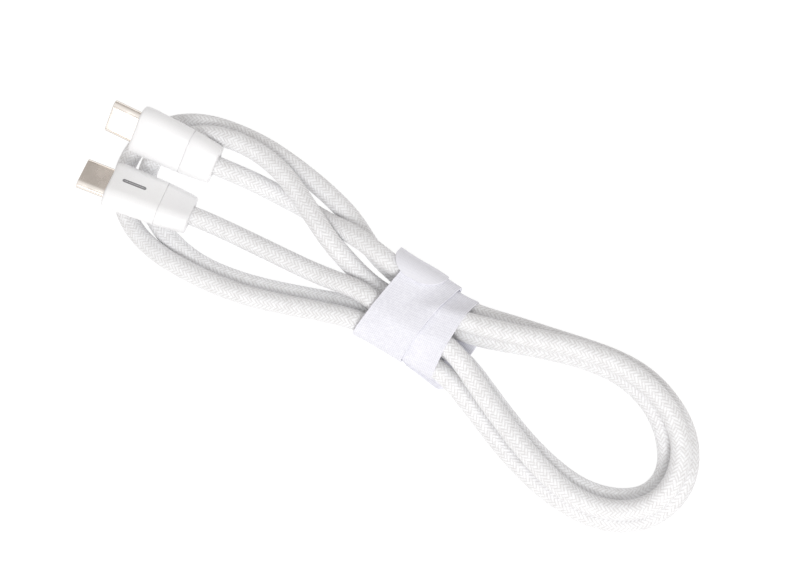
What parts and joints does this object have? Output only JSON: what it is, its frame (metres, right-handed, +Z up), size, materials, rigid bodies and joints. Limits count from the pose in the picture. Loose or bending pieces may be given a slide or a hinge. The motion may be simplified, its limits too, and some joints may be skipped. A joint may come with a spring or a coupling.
{
  "type": "charging cable",
  "caption": "Braided charging cable with a flat oval plug at each end, wound into a long hank and held at the middle by a wrapped hook-and-loop strap.",
  "frame": {"origin": "centre of the bounding box in X and Y, on the surface the hank lies on", "axes": "+X along the hank, from the plugs to the far loop; +Z up"},
  "size_m": [0.1552, 0.0453, 0.0164],
  "materials": {
    "white_braid": "woven",
    "white_jacket": "matte",
    "red_wire": "matte",
    "black_wire": "matte",
    "blue_wire": "matte",
    "green_wire": "matte",
    "white_wire": "matte",
    "stainless": "satin",
    "gold_contact": "polished",
    "black_insulator": "matte",
    "green_board": "matte",
    "chip_black": "matte",
    "tan_ceramic": "matte",
    "inner_mould_white": "matte",
    "gloss_white": "gloss",
    "grey_mark": "matte",
    "strap_white": "woven",
    "hook_white": "fine hooks"
  },
  "bodies": {
    "cable_and_strap": {"braided_sleeve": "white_braid", "inner_jacket": "white_jacket", "power_wire": "red_wire", "ground_wire": "black_wire", "config_wire": "blue_wire", "data_plus_wire": "green_wire", "data_minus_wire": "white_wire", "plug_a_shell": "stainless", "plug_a_insulator": "black_insulator", "plug_a_upper_contacts": "gold_contact", "plug_a_lower_contacts": "gold_contact", "plug_a_paddle_card": "green_board", "plug_a_marker_chip": "chip_black", "plug_a_capacitor": "tan_ceramic", "plug_a_shield_can": "stainless", "plug_a_inner_mould": "inner_mould_white", "plug_a_crimp_ferrule": "stainless", "plug_a_front_housing": "gloss_white", "plug_a_rear_collar": "gloss_white", "plug_b_shell": "stainless", "plug_b_insulator": "black_insulator", "plug_b_upper_contacts": "gold_contact", "plug_b_lower_contacts": "gold_contact", "plug_b_paddle_card": "green_board", "plug_b_marker_chip": "chip_black", "plug_b_capacitor": "tan_ceramic", "plug_b_shield_can": "stainless", "plug_b_inner_mould": "inner_mould_white", "plug_b_crimp_ferrule": "stainless", "plug_b_front_housing": "gloss_white", "plug_b_rear_collar": "gloss_white", "plug_b_mark_inlay": "grey_mark", "strap_inner_turn": "strap_white", "strap_outer_turn": "strap_white", "strap_tail": "hook_white"},
    "strap_tab_flap": {"strap_tab": "hook_white"},
    "plug_a_left_latch_spring": {"plug_a_left_latch": "stainless"},
    "plug_a_right_latch_spring": {"plug_a_right_latch": "stainless"},
    "plug_b_left_latch_spring": {"plug_b_left_latch": "stainless"},
    "plug_b_right_latch_spring": {"plug_b_right_latch": "stainless"}
  },
  "joints": [
    {"name": "strap_tab_peel", "type": "hinge", "parent": "cable_and_strap", "child": "strap_tab_flap", "pos_m": [0.00304, 0.01324, 0.01044], "axis": [-1, 0, 0], "range_deg": [0, 100]},
    {"name": "plug_a_left_latch_flex", "type": "hinge", "parent": "cable_and_strap", "child": "plug_a_left_latch_spring", "pos_m": [-0.06953, 0.00761, 0.00965], "axis": [0.1999, -0.581, 0.789], "range_deg": [0, 1.2], "stiffness_Nm_per_rad": 0.02},
    {"name": "plug_a_right_latch_flex", "type": "hinge", "parent": "cable_and_strap", "child": "plug_a_right_latch_spring", "pos_m": [-0.06884, 0.01317, 0.01357], "axis": [-0.1999, 0.581, -0.789], "range_deg": [0, 1.2], "stiffness_Nm_per_rad": 0.02},
    {"name": "plug_b_left_latch_flex", "type": "hinge", "parent": "cable_and_strap", "child": "plug_b_left_latch_spring", "pos_m": [-0.06824, -0.00651, 0.0126], "axis": [0.1343, 0.5634, 0.8152], "range_deg": [0, 1.2], "stiffness_Nm_per_rad": 0.02},
    {"name": "plug_b_right_latch_flex", "type": "hinge", "parent": "cable_and_strap", "child": "plug_b_right_latch_spring", "pos_m": [-0.06976, -0.00091, 0.00898], "axis": [-0.1343, -0.5634, -0.8152], "range_deg": [0, 1.2], "stiffness_Nm_per_rad": 0.02}
  ]
}
